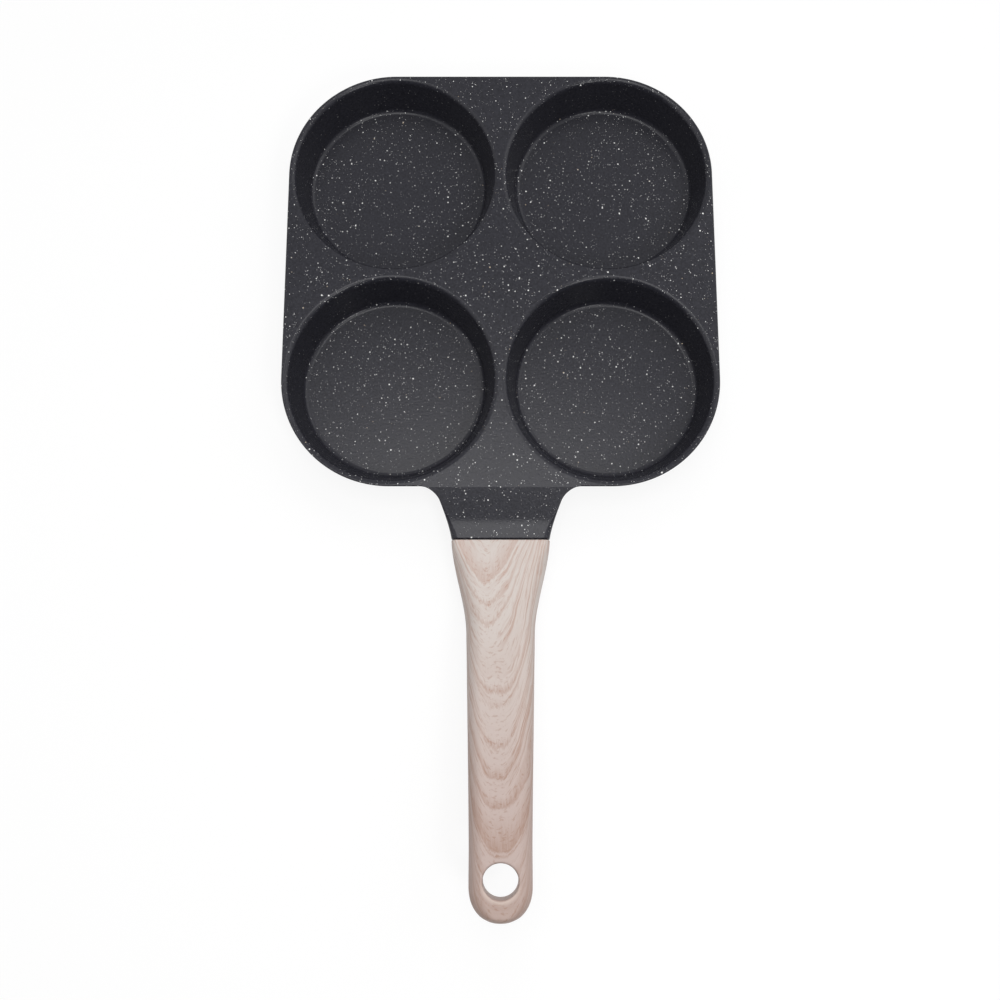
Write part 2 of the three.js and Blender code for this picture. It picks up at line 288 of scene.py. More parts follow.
    def _tidied(self) -> "Body":
        """Merges doubled points and turns all faces outwards.

        Returns:
            This shape.
        """
        bmesh.ops.remove_doubles(self.mesh, verts=self.mesh.verts, dist=TOUCH)
        bmesh.ops.recalc_face_normals(self.mesh, faces=self.mesh.faces)
        return self

    def as_object(self, name: str) -> bpy.types.Object:
        """Makes an object of the shape, still in millimetres, and ends the bmesh.

        Args:
            name: The object's name.

        Returns:
            The object, linked to the scene.
        """
        mesh = bpy.data.meshes.new(name)
        self.mesh.to_mesh(mesh)
        self.mesh.free()
        made = bpy.data.objects.new(name, mesh)
        bpy.context.scene.collection.objects.link(made)
        return made


def joined(name: str, base: Body, steps: Sequence[tuple[Join, Body]]) -> Body:
    """Adds bodies to a body, cuts them out of it or keeps what they share, in order.

    Args:
        name: A name for the parts while they are joined.
        base: The body to start from.
        steps: What is joined to it, and how.

    Returns:
        A new body with the result.
    """
    parts = [base.as_object(name)]
    for join, body in steps:
        other = body.as_object(f"{name}_part")
        modifier = parts[0].modifiers.new(join.value, "BOOLEAN")
        modifier.operation = join.value
        modifier.solver = "EXACT"
        modifier.object = other
        parts.append(other)
    result = Body()
    result.mesh.from_object(parts[0], bpy.context.evaluated_depsgraph_get())
    for part in parts:
        bpy.data.meshes.remove(part.data)
    return result


# Finishes


class Nodes:
    """Adds nodes to one new material and links them."""

    def __init__(self, name: str) -> None:
        """Makes the material, with only its surface shader and its output.

        Args:
            name: The material's name.
        """
        self.material = bpy.data.materials.new(name)
        self.material.use_nodes = True
        self.tree = self.material.node_tree
        self.surface = self.tree.nodes["Principled BSDF"]

    def add(self, kind: str, values: dict[Union[str, int], Value], **settings: object) -> bpy.types.Node:
        """Adds one node.

        Args:
            kind: The node's type.
            values: Plain values or sockets, by the name or number of the input.
            settings: The node's own properties.

        Returns:
            The node.
        """
        node = self.tree.nodes.new(kind)
        for name, setting in settings.items():
            setattr(node, name, setting)
        for name, value in values.items():
            self.put(node.inputs[name], value)
        return node

    def put(self, socket: Socket, value: Value) -> None:
        """Links a socket to an input, or sets the input's plain value.

        Args:
            socket: The input.
            value: What goes into it.
        """
        if isinstance(value, Socket):
            self.tree.links.new(value, socket)
        else:
            socket.default_value = value

    def dressed(self, values: dict[str, Value]) -> bpy.types.Material:
        """Sets inputs of the surface shader.

        Args:
            values: Plain values or sockets, by the name of the input.

        Returns:
            The material.
        """
        for name, value in values.items():
            self.put(self.surface.inputs[name], value)
        return self.material

    def position(self, start: Sequence[float] = (0, 0, 0)) -> Socket:
        """Finds where a point of the surface lies.

        Args:
            start: Where the coordinates start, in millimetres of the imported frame.

        Returns:
            The surface's own coordinates, in millimetres.
        """
        place = self.add("ShaderNodeTexCoord", {}).outputs["Object"]
        values = {"Vector": place, "Location": [-part for part in start], "Scale": (1 / METRES,) * 3}
        return self.add("ShaderNodeMapping", values).outputs["Vector"]

    def split(self, vector: Socket) -> list[Socket]:
        """Returns the three parts of a vector."""
        return list(self.add("ShaderNodeSeparateXYZ", {"Vector": vector}).outputs)

    def vector(self, x: Value, y: Value, z: Value) -> Socket:
        """Returns a vector of three parts."""
        return self.add("ShaderNodeCombineXYZ", {"X": x, "Y": y, "Z": z}).outputs["Vector"]

    def calc(self, operation: str, *values: Value) -> Socket:
        """Returns the result of one operation on numbers."""
        node = self.add("ShaderNodeMath", dict(enumerate(values)), operation=operation)
        return node.outputs["Value"]

    def span(
        self, value: Value, start: Value, end: Value, low: Value = 0.0, high: Value = 1.0,
        smooth: bool = True,
    ) -> Socket:
        """Maps a number from one span to another and holds it there.

        Args:
            value: The number.
            start: Where low is reached.
            end: Where high is reached.
            low: The result at start.
            high: The result at end.
            smooth: Whether the result eases in and out.

        Returns:
            The mapped number.
        """
        values = {"Value": value, "From Min": start, "From Max": end, "To Min": low, "To Max": high}
        kind = "SMOOTHSTEP" if smooth else "LINEAR"
        return self.add("ShaderNodeMapRange", values, interpolation_type=kind).outputs["Result"]

    def between(self, share: Value, low: Value, high: Value) -> Socket:
        """Returns the number at a share of the way from low to high."""
        return self.span(share, 0.0, 1.0, low, high, smooth=False)

    def noise(self, vector: Value, size: float, detail: float = 2.0, roughness: float = 0.5) -> Socket:
        """Reads noise from 0 to 1.

        Args:
            vector: Where it is read.
            size: Size of its largest features, in the vector's unit.
            detail: How many finer layers it has.
            roughness: How strong the finer layers are.

        Returns:
            The noise.
        """
        values = {"Vector": vector, "Scale": 1 / size, "Detail": detail, "Roughness": roughness}
        return self.add("ShaderNodeTexNoise", values).outputs["Fac"]

    def shifted(self, vector: Socket, size: float, reach: float) -> Socket:
        """Moves a point about at random, so that what is read there gets a ragged outline.

        Args:
            vector: The point.
            size: Size of the raggedness, in the vector's unit.
            reach: How far a point moves.

        Returns:
            The moved point.
        """
        values = {"Vector": vector, "Scale": 1 / size, "Detail": 0.0}
        noise = self.add("ShaderNodeTexNoise", values).outputs["Color"]
        values = {"Vector": noise, "Location": (-reach,) * 3, "Scale": (2 * reach,) * 3}
        offset = self.add("ShaderNodeMapping", values).outputs["Vector"]
        return self.add("ShaderNodeVectorMath", {0: vector, 1: offset}, operation="ADD").outputs["Vector"]

    def blend(self, share: Value, first: Value, second: Value) -> Socket:
        """Returns a colour between two colours."""
        values = {0: share, MIX_FIRST: self._opaque(first), MIX_SECOND: self._opaque(second)}
        return self.add("ShaderNodeMix", values, data_type="RGBA").outputs[MIX_RESULT]

    @staticmethod
    def _opaque(colour: Value) -> Value:
        """Gives a plain colour its fourth part, and leaves a socket as it is."""
        return colour if isinstance(colour, Socket) else (*colour, 1.0)

    def bump(self, height: Socket, depth: float, strength: float) -> Socket:
        """Returns the normal of a relief of the given depth in millimetres."""
        values = {"Height": height, "Distance": depth * METRES, "Strength": strength}
        return self.add("ShaderNodeBump", values).outputs["Normal"]


@dataclass(frozen=True)
class SpeckSize:
    """One kind of speck in a coating: spacing, radii and how many and how bright, sizes in millimetres."""

    spacing: float
    small: float
    large: float
    share: float
    strength: float


@dataclass(frozen=True)
class SpeckledCoating:
    """Charcoal non-stick coating with sprayed pale specks, sizes in millimetres."""

    name: str = "speckled_coating"
    # Ground
    charcoal: Colour = (0.0180, 0.0180, 0.0235)
    charcoal_light: Colour = (0.0290, 0.0290, 0.0372)
    grain_size: float = 1.0
    grain_fineness: float = 0.7
    grain_range: Range = (0.3, 0.7)
    relief: float = 0.08
    relief_strength: float = 1.0
    roughness: Range = (0.20, 0.25)
    specular: float = 0.20
    # Specks
    pale: Colour = (0.92, 0.92, 0.91)
    tan: Colour = (0.62, 0.50, 0.36)
    tan_size: float = 3.0
    tan_range: Range = (0.66, 0.70)
    ragged_size: float = 0.4
    raggedness: float = 0.04
    crowd_size: float = 10.0
    crowd: Span = (0.36, 0.62, 0.72, 1.20)
    speck_edge: float = 0.85
    faintest: float = 0.5
    landed: Span = (0.2, 0.85, 0.10, 1.0)
    specks: tuple[SpeckSize, ...] = (
        SpeckSize(2.8, 0.17, 0.38, 0.58, 1.6),
        SpeckSize(1.8, 0.12, 0.24, 0.88, 1.5),
        SpeckSize(0.9, 0.06, 0.135, 0.80, 0.90),
    )

    def _spots(self, nodes: Nodes, place: Socket, crowd: Socket, size: SpeckSize) -> Socket:
        """Scatters the specks of one size.

        Args:
            nodes: Where the nodes go.
            place: The surface's coordinates.
            crowd: How thickly the specks lie.
            size: Their size.

        Returns:
            How much of the pale colour shows.
        """
        cells = nodes.add("ShaderNodeTexVoronoi", {"Vector": place, "Scale": 1 / size.spacing})
        chance, spread, glow = nodes.split(cells.outputs["Color"])
        present = nodes.calc("LESS_THAN", chance, nodes.calc("MULTIPLY", crowd, size.share))
        radius = nodes.between(spread, size.small / size.spacing, size.large / size.spacing)
        inner = nodes.calc("MULTIPLY", radius, self.speck_edge)
        spot = nodes.span(cells.outputs["Distance"], radius, inner)
        light = nodes.between(glow, self.faintest * size.strength, size.strength)
        return nodes.calc("MULTIPLY", nodes.calc("MULTIPLY", spot, present), light)

    def _specks(self, nodes: Nodes, place: Socket) -> Socket:
        """Scatters all the sizes of specks.

        Args:
            nodes: Where the nodes go.
            place: The surface's coordinates.

        Returns:
            How much of the pale colour shows.
        """
        crowd = nodes.span(nodes.noise(place, self.crowd_size), *self.crowd)
        ragged = nodes.shifted(place, self.ragged_size, self.raggedness)
        total: Value = 0.0
        for size in self.specks:
            total = nodes.calc("MAXIMUM", total, self._spots(nodes, ragged, crowd, size))
        return total

    def material(self) -> bpy.types.Material:
        """Builds the coating.

        Returns:
            Its material.
        """
        nodes = Nodes(self.name)
        place = nodes.position()
        grain = nodes.noise(place, self.grain_size, roughness=self.grain_fineness)
        ground = nodes.blend(nodes.span(grain, *self.grain_range), self.charcoal, self.charcoal_light)
        facing_up = nodes.split(nodes.add("ShaderNodeNewGeometry", {}).outputs["Normal"])[2]
        specks = nodes.calc("MULTIPLY", self._specks(nodes, place), nodes.span(facing_up, *self.landed))
        tanned = nodes.span(nodes.noise(place, self.tan_size), *self.tan_range)
        return nodes.dressed({
            "Base Color": nodes.blend(specks, ground, nodes.blend(tanned, self.pale, self.tan)),
            "Roughness": nodes.span(grain, *self.grain_range, *self.roughness),
            "Normal": nodes.bump(grain, self.relief, self.relief_strength),
            "Specular IOR Level": self.specular,
        })


@dataclass(frozen=True)
class GrainArch:
    """One arch of the wood grain: where its tip lies along the handle, its width and its depth of tone."""

    tip: float
    width: float
    depth: float


@dataclass(frozen=True)
class GrainStroke:
    """Strokes along the arches: their width, how fast they end, and how their tone comes from noise."""

    width: float
    run: float
    tone: Span


@dataclass(frozen=True)
class GrainPlace:
    """Where a point lies in the wood grain, in millimetres.

    Attributes:
        x: Distance from the handle's middle.
        along: Distance from the handle's front.
        lift: Height above the handle's centre line.
        tip: About where the tip lies of the arch that the point is on.
        across: Distance from the arches' own middle line.
        aside: 0 at that line and 1 well away from it.
    """

    x: Socket
    along: Socket
    lift: Socket
    tip: Socket
    across: Socket
    aside: Socket


@dataclass(frozen=True)
class WoodGrainPrint:
    """Satin print of pale wood with grain arches that point to the handle's tail, sizes in millimetres."""

    front_y: float
    centre_z: float
    rise: float
    length: float
    hole_along: float
    hole_radius: float
    name: str = "wood_grain_print"
    # Colours, and where they change along the handle
    pale_front: Colour = (0.635, 0.570, 0.532)
    pale_tail: Colour = (0.512, 0.402, 0.366)
    pale_change: Range = (15.0, 125.0)
    deep_front: Colour = (0.510, 0.352, 0.294)
    deep_tail: Colour = (0.380, 0.246, 0.194)
    deep_change: Range = (-10.0, 116.0)
    tail_tone: Span = (132.0, 150.0, 0.0, 0.30)
    # Form of the arches
    arch_bend: float = 0.0215
    last_bend: float = 0.0160
    bend_change: Range = (112.0, 124.0)
    bow_change: Range = (15.0, 60.0)
    mean_bow: float = 0.5
    arch_reach: float = 14.0
    arch_slope: float = 1.75
    arch_tip: float = 3.2
    arch_side: float = 60.0
    side_depth: float = 6.2
    # Where the arches' middle line lies
    lean_front: float = 6.0
    lean_tail: float = 1.2
    lean_change: Range = (30.0, 75.0)
    lean_end: Range = (113.0, 123.0)
    middle: Range = (2.5, 9.5)
    # Waves, fibres and strokes
    drift_size: float = 7.0
    drift_run: float = 0.4
    drift_reach: Span = (90.0, 120.0, 3.4, 1.4)
    fibre_size: float = 0.6
    fibre_run: float = 0.12
    fibre_fineness: float = 0.6
    fray: Span = (0.25, 0.75, -1.0, 1.0)
    fray_reach: Span = (70.0, 112.0, 1.6, 0.6)
    fray_aside: float = 0.4
    wear: Span = (0.25, 0.7, 0.55, 1.05)
    sharp_edge: float = 0.9
    stroke_fineness: float = 0.55
    lines: GrainStroke = GrainStroke(2.6, 0.10, (0.50, 0.66, 0.0, 0.75))
    line_middle: float = 0.15
    line_fade: Span = (106.0, 126.0, 1.0, 0.5)
    dashes: GrainStroke = GrainStroke(0.9, 0.45, (0.55, 0.66, 0.0, 0.48))
    # Painted highlight on the lip of the hanging hole
    lip_painted_highlight: Colour = (0.64, 0.53, 0.47)
    lip_start: float = 0.3
    lip_width: float = 2.2
    lip_share: Span = (-2.0, 5.0, 0.0, 0.75)
    lip_top: Range = (0.0, 3.0)
    # Feel of the surface
    relief: float = 0.04
    relief_strength: float = 0.15
    gloss_range: Range = (0.2, 0.8)
    roughness: Range = (0.42, 0.55)
    specular: float = 0.4
    # The arches up to the last tip, and those of the tail and the sides
    arches: tuple[GrainArch, ...] = (
        GrainArch(19.0, 12.0, 0.75), GrainArch(29.3, 2.2, 0.75), GrainArch(37.3, 2.6, 0.75),
        # The broad faint arch tipped at 58 mm is partly grain tone and partly painted shade on the flare's
        # rounded flanks.
        GrainArch(58.0, 13.0, 0.2), GrainArch(66.0, 3.4, 0.85), GrainArch(71.0, 2.0, 0.4),
        GrainArch(86.5, 3.0, 0.7), GrainArch(98.5, 5.5, 0.85), GrainArch(110.8, 5.0, 0.85),
        GrainArch(126.5, 13.0, 1.0),
    )
    side_arches: tuple[GrainArch, ...] = (
        GrainArch(128.2, 1.0, 0.85), GrainArch(139.0, 5.0, 0.5), GrainArch(148.5, 5.0, 0.25),
        GrainArch(158.0, 7.0, 0.6), GrainArch(169.0, 4.0, 0.5), GrainArch(181.0, 8.0, 0.7),
        GrainArch(193.0, 5.0, 0.5), GrainArch(207.0, 7.0, 0.6), GrainArch(222.0, 6.0, 0.6),
    )

    def _arch(self, nodes: Nodes, across: Socket, bow: Value, bend: Value) -> Socket:
        """Draws an arch's two sides.

        Args:
            nodes: Where the nodes go.
            across: Distance from the arches' middle line.
            bow: The arch's kind, from 0 for a point to 1 for a bow.
            bend: How steep the bow is.

        Returns:
            How far the arch's side lies in front of its tip.
        """
        square = nodes.calc("MULTIPLY", across, across)
        cube = nodes.calc("MULTIPLY", square, nodes.calc("ABSOLUTE", across))
        flattened = nodes.calc("MULTIPLY_ADD", square, self.arch_reach ** -2, 1.0)
        bowed = nodes.calc("MULTIPLY", nodes.calc("DIVIDE", cube, flattened), bend)
        length = nodes.calc("SQRT", nodes.calc("ADD", square, self.arch_tip ** 2))
        pointed = nodes.calc("MULTIPLY", nodes.calc("SUBTRACT", length, self.arch_tip), self.arch_slope)
        return nodes.between(bow, pointed, bowed)

    def _place(self, nodes: Nodes) -> GrainPlace:
        """Measures where a point lies on the handle and in its grain.

        Args:
            nodes: Where the nodes go.

        Returns:
            The point's place.
        """
        x, back, z = nodes.split(nodes.position((0, self.front_y, 0)))
        along = nodes.calc("MULTIPLY", back, -1.0)
        centre = nodes.span(along, 0.0, self.length, self.centre_z, self.centre_z + self.rise)
        mean_lean = (self.lean_front + self.lean_tail) / 2
        before_tip = self._arch(nodes, nodes.calc("ADD", x, mean_lean), self.mean_bow, self.arch_bend)
        tip = nodes.calc("ADD", along, before_tip)
        lean = nodes.span(tip, *self.lean_change, self.lean_front, self.lean_tail)
        lean = nodes.calc("SUBTRACT", lean, nodes.span(tip, *self.lean_end, 0.0, self.lean_tail))
        across = nodes.calc("ADD", x, lean)
        aside = nodes.span(nodes.calc("ABSOLUTE", across), *self.middle)
        return GrainPlace(x, along, nodes.calc("SUBTRACT", z, centre), tip, across, aside)

    @staticmethod
    def _drawn_out(nodes: Nodes, at: GrainPlace, run: float) -> Socket:
        """Returns a point's place for noise that is drawn out along the handle."""
        return nodes.vector(at.across, nodes.calc("MULTIPLY", at.along, run), at.lift)

    def _rings(self, nodes: Nodes, at: GrainPlace) -> Socket:
        """Measures the grain: each arch is a line of one value, drawn out towards the front at the sides.

        Args:
            nodes: Where the nodes go.
            at: The point's place.

        Returns:
            The distance along the arches, which is the distance along the handle at their tips.
        """
        bend = nodes.span(at.tip, *self.bend_change, self.arch_bend, self.last_bend)
        above = self._arch(nodes, at.across, nodes.span(at.tip, *self.bow_change), bend)
        below = nodes.calc("SUBTRACT", 2 * self.arch_side, above)
        arch = nodes.span(at.lift, self.side_depth, -self.side_depth, above, below, smooth=False)
        noise = nodes.noise(self._drawn_out(nodes, at, self.drift_run), self.drift_size)
        reach = nodes.span(at.along, *self.drift_reach)
        drift = nodes.calc("MULTIPLY", nodes.between(noise, -1.0, 1.0), reach)
        return nodes.calc("ADD", nodes.calc("ADD", at.along, arch), drift)

    def _bands(self, nodes: Nodes, ring: Socket, arches: Sequence[GrainArch]) -> Socket:
        """Shades a row of arches, each darker towards its tip and sharp beyond it.

        Args:
            nodes: Where the nodes go.
            ring: Distance along the arches.
            arches: The arches, in order.

        Returns:
            Their tone, from 0 to 1.
        """
        start = arches[0].tip - arches[0].width
        reach = arches[-1].tip + self.sharp_edge - start
        node = nodes.add("ShaderNodeValToRGB", {"Fac": nodes.span(ring, start, start + reach, smooth=False)})
        stops = node.color_ramp.elements
        for stop, place in zip(stops, (0.0, 1.0)):
            stop.position, stop.color = place, (0, 0, 0, 1)
        last = 0.0
        for arch in arches:
            places = (arch.tip - arch.width, arch.tip, arch.tip + self.sharp_edge)
            for place, tone in zip(places, (0.0, arch.depth, 0.0)):
                last = min(max((place - start) / reach, last + STOP_GAP), 1.0)
                stops.new(last).color = (tone, tone, tone, 1)
        return node.outputs["Color"]

    def _strokes(self, nodes: Nodes, ring: Socket, at: GrainPlace, stroke: GrainStroke) -> Socket:
        """Draws strokes out along the arches.

        Args:
            nodes: Where the nodes go.
            ring: Distance along the arches.
            at: The point's place.
            stroke: The kind of stroke.

        Returns:
            Their tone.
        """
        sides = (nodes.calc("MULTIPLY", part, stroke.run) for part in (at.across, at.lift))
        noise = nodes.noise(nodes.vector(ring, *sides), stroke.width, roughness=self.stroke_fineness)
        return nodes.span(noise, *stroke.tone)

    def _tone(self, nodes: Nodes, at: GrainPlace, fibre: Socket) -> Socket:
        """Lays arches, lines and dashes over each other.

        Args:
            nodes: Where the nodes go.
            at: The point's place.
            fibre: The fine noise that frays and wears them.

        Returns:
            The grain's tone, from 0 for pale to 1 for deep.
        """
        ring = self._rings(nodes, at)
        reach = nodes.between(at.aside, nodes.span(at.along, *self.fray_reach), self.fray_aside)
        fray = nodes.calc("MULTIPLY", nodes.span(fibre, *self.fray, smooth=False), reach)
        ragged = nodes.calc("ADD", ring, fray)
        rows = (self._bands(nodes, ragged, arches) for arches in (self.arches, self.side_arches))
        worn = nodes.calc("MULTIPLY", nodes.calc("ADD", *rows), nodes.span(fibre, *self.wear, smooth=False))
        lines = self._strokes(nodes, ring, at, self.lines)
        lines = nodes.calc("MULTIPLY", lines, nodes.between(at.aside, self.line_middle, 1.0))
        lines = nodes.calc("MULTIPLY", lines, nodes.span(at.along, *self.line_fade))
        dashes = self._strokes(nodes, ring, at, self.dashes)
        tone = nodes.calc("ADD", nodes.calc("MAXIMUM", worn, lines), dashes)
        tone = nodes.calc("ADD", tone, nodes.span(at.along, *self.tail_tone))
        return nodes.calc("MINIMUM", tone, 1.0)

    def _painted_lip_highlight(self, nodes: Nodes, at: GrainPlace) -> Socket:
        """Paints a pale highlight onto the lip of the hanging hole, on the tail's side of its top.

        Args:
            nodes: Where the nodes go.
            at: The point's place.

        Returns:
            How much of the painted highlight's colour shows.
        """
        behind = nodes.calc("SUBTRACT", at.along, self.hole_along)
        squares = (nodes.calc("MULTIPLY", part, part) for part in (at.x, behind))
        distance = nodes.calc("SQRT", nodes.calc("ADD", *squares))
        out = nodes.calc("SUBTRACT", distance, self.hole_radius)
        limits = (
            nodes.span(out, self.lip_width, self.lip_start),
            nodes.span(behind, *self.lip_share),
            nodes.span(at.lift, *self.lip_top),
        )
        share = nodes.span(out, 0.0, self.lip_start)
        for limit in limits:
            share = nodes.calc("MULTIPLY", share, limit)
        return share

    def material(self) -> bpy.types.Material:
        """Builds the print.

        Returns:
            Its material.
        """
        nodes = Nodes(self.name)
        at = self._place(nodes)
        drawn_out = self._drawn_out(nodes, at, self.fibre_run)
        fibre = nodes.noise(drawn_out, self.fibre_size, roughness=self.fibre_fineness)
        pale = nodes.blend(nodes.span(at.along, *self.pale_change), self.pale_front, self.pale_tail)
        deep = nodes.blend(nodes.span(at.along, *self.deep_change), self.deep_front, self.deep_tail)
        wood = nodes.blend(self._tone(nodes, at, fibre), pale, deep)
        return nodes.dressed({
            # The paler ring on the hanging hole's lip is a painted highlight, not part of the print.
            "Base Color": nodes.blend(self._painted_lip_highlight(nodes, at), wood, self.lip_painted_highlight),
            "Roughness": nodes.span(fibre, *self.gloss_range, *self.roughness),
            "Normal": nodes.bump(fibre, self.relief, self.relief_strength),
            "Specular IOR Level": self.specular,
        })


@dataclass(frozen=True)
class BrushedSteel:
    """Steel with fine brush lines along X, sizes in millimetres."""

    name: str
    dark: Colour = (0.42, 0.42, 0.43)
    light: Colour = (0.62, 0.62, 0.63)
    line_width: float = 0.18
    line_length: float = 14.0
    line_detail: float = 3.0
    line_fineness: float = 0.6
    line_range: Range = (0.25, 0.75)
    stain_size: float = 12.0
    stain_range: Range = (0.3, 0.7)
    relief: float = 0.02
    relief_strength: float = 0.3
    roughness: Range = (0.26, 0.42)

    def material(self) -> bpy.types.Material:
        """Builds the steel.

        Returns:
            Its material.
        """
        nodes = Nodes(self.name)
        place = nodes.position()
        x, y, z = nodes.split(place)
        drawn_out = nodes.vector(nodes.calc("MULTIPLY", x, self.line_width / self.line_length), y, z)
        lines = nodes.noise(drawn_out, self.line_width, self.line_detail, self.line_fineness)
        stain = nodes.noise(place, self.stain_size)
        return nodes.dressed({
            "Base Color": nodes.blend(nodes.span(lines, *self.line_range), self.dark, self.light),
            "Roughness": nodes.span(stain, *self.stain_range, *self.roughness),
            "Normal": nodes.bump(lines, self.relief, self.relief_strength),
            "Metallic": 1.0,
        })


# Pieces


@dataclass(frozen=True)
class Joint:
    """Where the neck meets the handle, and the casting's tang inside the handle, in millimetres."""

    half_width: float = 21.5
    height: float = 15.0
    corner_round: float = 5.0
    top_round: float = 3.0
    edge_round: float = 0.6
    gap: float = 0.3
    tang_length: float = 28.0
    tang_width: float = 24.0
    tang_height: float = 5.6
    tang_round: float = 2.0
    tang_lift: float = 1.7
    tang_clearance: float = 0.3
    screw_from_joint: float = 16.0
    screw_shank: float = 2.5
    screw_clearance: float = 0.3

    @property
    def screw_hole(self) -> float:
        """Radius of the screw's hole."""
        return self.screw_shank + self.screw_clearance


def upright_section(
    half_width: float, bottom: float, top: float, rounds: tuple[float, float], y: float, lean: float = 0.0,
) -> Section:
    """Stands a section in a plane across Y.

    Args:
        half_width: Half its width.
        bottom: Height of its lower side.
        top: Height of its upper side.
        rounds: Radii of its lower and upper corners.
        y: Where the plane meets the section's upper side.
        lean: The plane's angle to the upright, with its lower side towards +Y.

    Returns:
        The section.
    """
    place = Matrix.Translation((0, y, top)) @ Matrix.Rotation(QUARTER_TURN + lean, 4, "X")
    return Section(half_width, (bottom - top) / math.cos(lean), 0.0, rounds[0], rounds[1], place)


def finished(
    body: Body, name: str, nodes: Sequence[str], material: bpy.types.Material, offset: float,
    crease: float = 32.0,
) -> bpy.types.Object:
    """Makes a visible piece of a body: in metres, in its place, shaded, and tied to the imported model.

    Args:
        body: The shape, in millimetres in the pan's own frame.
        name: The piece's name.
        nodes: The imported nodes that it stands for.
        material: Its finish.
        offset: How far the pan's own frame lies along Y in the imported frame.
        crease: Edges sharper than this many degrees stay crisp.

    Returns:
        The piece.
    """
    bmesh.ops.remove_doubles(body.mesh, verts=body.mesh.verts, dist=MERGE)
    bmesh.ops.dissolve_degenerate(body.mesh, edges=body.mesh.edges, dist=SLIVER)
    place = Matrix.Scale(METRES, 4) @ Matrix.Translation((0, offset, 0))
    piece = body.moved(place).as_object(name)
    piece.data.shade_smooth()
    piece.data.set_sharp_from_angle(angle=math.radians(crease))
    weighted = piece.modifiers.new("even_shading", "WEIGHTED_NORMAL")
    weighted.keep_sharp = True
    piece.data.materials.append(material)
    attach(piece, "root")
    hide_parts(*nodes)
    return piece


